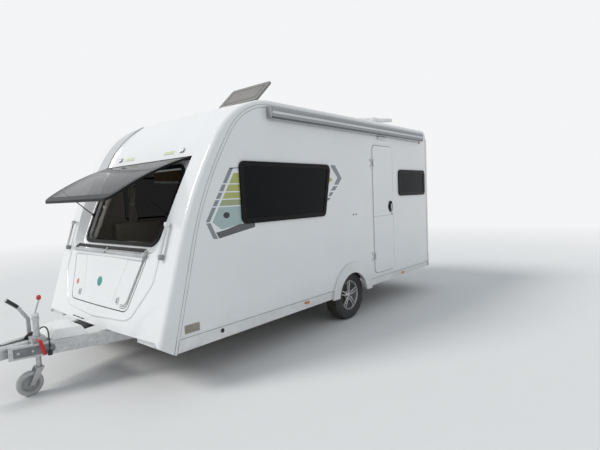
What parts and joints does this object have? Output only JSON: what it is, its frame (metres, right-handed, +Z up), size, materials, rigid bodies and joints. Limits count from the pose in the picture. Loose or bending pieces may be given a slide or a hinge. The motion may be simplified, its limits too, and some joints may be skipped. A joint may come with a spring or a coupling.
{
  "type": "travel caravan",
  "caption": "Single-axle towed leisure caravan with a raked front, hinged front pane, locker lid, roof light, entrance door and a drawbar on a jockey wheel.",
  "frame": {"origin": "on the floor under the middle of the whole caravan", "axes": "+X forward to the coupling, +Y to the door side, +Z up"},
  "size_m": [6.039, 2.276, 2.8326],
  "materials": {
    "panel_white": "gloss",
    "gloss_white": "gloss",
    "white_plastic": "satin",
    "panel_inner": "satin",
    "black_trim": "matte",
    "tinted_glass": "tinted",
    "grey_acrylic": "satin",
    "black_plastic": "matte",
    "red_lamp": "gloss",
    "amber_lamp": "gloss",
    "silver_metal": "satin",
    "silver_alloy": "satin",
    "galvanised": "dull",
    "wood_board": "satin",
    "cushion_fabric": "woven",
    "curtain_fabric": "woven",
    "grey_plastic": "satin",
    "lamp_white": "gloss",
    "red_plastic": "satin",
    "black_rubber": "matte",
    "tyre": "matte",
    "grey_wheel": "matte"
  },
  "bodies": {
    "body": {"floor": "panel_inner", "wall_left": "panel_white", "wall_right": "panel_white", "front_panel": "gloss_white", "roof": "panel_white", "rear_panel": "gloss_white", "window_rims": "black_trim", "window_panes": "tinted_glass", "opening_rim": "black_trim", "sky_frame": "white_plastic", "front_pane": "tinted_glass", "front_pane_rim": "black_trim", "pane_stays": "galvanised", "wheel_boxes": "black_plastic", "skirts": "white_plastic", "arch_mouldings": "white_plastic", "grab_handles": "grey_plastic", "front_lamps": "lamp_white", "rear_bumper": "white_plastic", "rear_lamps": "red_lamp", "side_markers": "amber_lamp", "awning_case": "silver_metal", "antenna": "white_plastic", "hinge_brackets": "galvanised", "chassis_rails": "galvanised", "drawbar": "galvanised", "axle": "galvanised", "overrun_housing": "galvanised", "coupling_head": "galvanised", "levers": "galvanised", "fairing": "white_plastic", "lead_cord": "black_rubber", "lead_ends": "black_plastic", "jockey_clamp": "galvanised", "clamp_lever": "red_plastic", "jockey_tube": "galvanised", "jockey_crank": "galvanised", "steady_brackets": "galvanised", "furniture": "wood_board", "seat_cushions": "cushion_fabric", "curtains": "curtain_fabric", "partition": "wood_board"},
    "wheel_left": {"tyre_left": "tyre", "rim_left": "silver_alloy"},
    "wheel_right": {"tyre_right": "tyre", "rim_right": "silver_alloy"},
    "door": {"door": "panel_white", "door_handle": "black_plastic"},
    "front_lid": {"front_lid": "gloss_white", "lid_rail": "silver_metal", "lid_locks": "black_plastic"},
    "sky_lid": {"sky_lid": "grey_acrylic"},
    "jockey_leg": {"jockey_leg": "galvanised"},
    "jockey_fork": {"jockey_fork": "galvanised"},
    "jockey_wheel": {"jockey_wheel": "grey_wheel"},
    "steady_front_left": {"steady_front_left": "galvanised"},
    "steady_front_right": {"steady_front_right": "galvanised"},
    "steady_rear_left": {"steady_rear_left": "galvanised"},
    "steady_rear_right": {"steady_rear_right": "galvanised"}
  },
  "joints": [
    {"name": "wheel_left_spin", "type": "hinge", "parent": "body", "child": "wheel_left", "pos_m": [-0.82, 0.955, 0.297], "axis": [0, 1, 0], "continuous": true},
    {"name": "wheel_right_spin", "type": "hinge", "parent": "body", "child": "wheel_right", "pos_m": [-0.82, -0.955, 0.297], "axis": [0, 1, 0], "continuous": true},
    {"name": "door_hinge", "type": "hinge", "parent": "body", "child": "door", "pos_m": [-1.334, 1.11, 1.323], "axis": [0, 0, -1], "range_deg": [0, 150]},
    {"name": "front_lid_hinge", "type": "hinge", "parent": "body", "child": "front_lid", "pos_m": [1.6984, 0, 1.09227], "axis": [0, -1, 0], "range_deg": [0, 80]},
    {"name": "sky_lid_hinge", "type": "hinge", "parent": "body", "child": "sky_lid", "pos_m": [0.268, 0.33, 2.566], "axis": [0, 1, 0], "range_deg": [-44, 16]},
    {"name": "jockey_slide", "type": "slide", "parent": "body", "child": "jockey_leg", "axis": [0, 0, 1], "range_m": [-0.12, 0.075]},
    {"name": "jockey_swivel", "type": "hinge", "parent": "jockey_leg", "child": "jockey_fork", "pos_m": [2.365, 0.092, 0.216], "axis": [0, 0, 1], "continuous": true},
    {"name": "jockey_wheel_spin", "type": "hinge", "parent": "jockey_fork", "child": "jockey_wheel", "pos_m": [2.441, 0.092, 0.1], "axis": [0, 1, 0], "continuous": true},
    {"name": "steady_front_left_hinge", "type": "hinge", "parent": "body", "child": "steady_front_left", "pos_m": [0.82, 0.7, 0.352], "axis": [0, 1, 0], "range_deg": [0, 42]},
    {"name": "steady_front_right_hinge", "type": "hinge", "parent": "body", "child": "steady_front_right", "pos_m": [0.82, -0.7, 0.352], "axis": [0, 1, 0], "range_deg": [0, 42]},
    {"name": "steady_rear_left_hinge", "type": "hinge", "parent": "body", "child": "steady_rear_left", "pos_m": [-2.32, 0.7, 0.352], "axis": [0, -1, 0], "range_deg": [0, 42]},
    {"name": "steady_rear_right_hinge", "type": "hinge", "parent": "body", "child": "steady_rear_right", "pos_m": [-2.32, -0.7, 0.352], "axis": [0, -1, 0], "range_deg": [0, 42]}
  ]
}
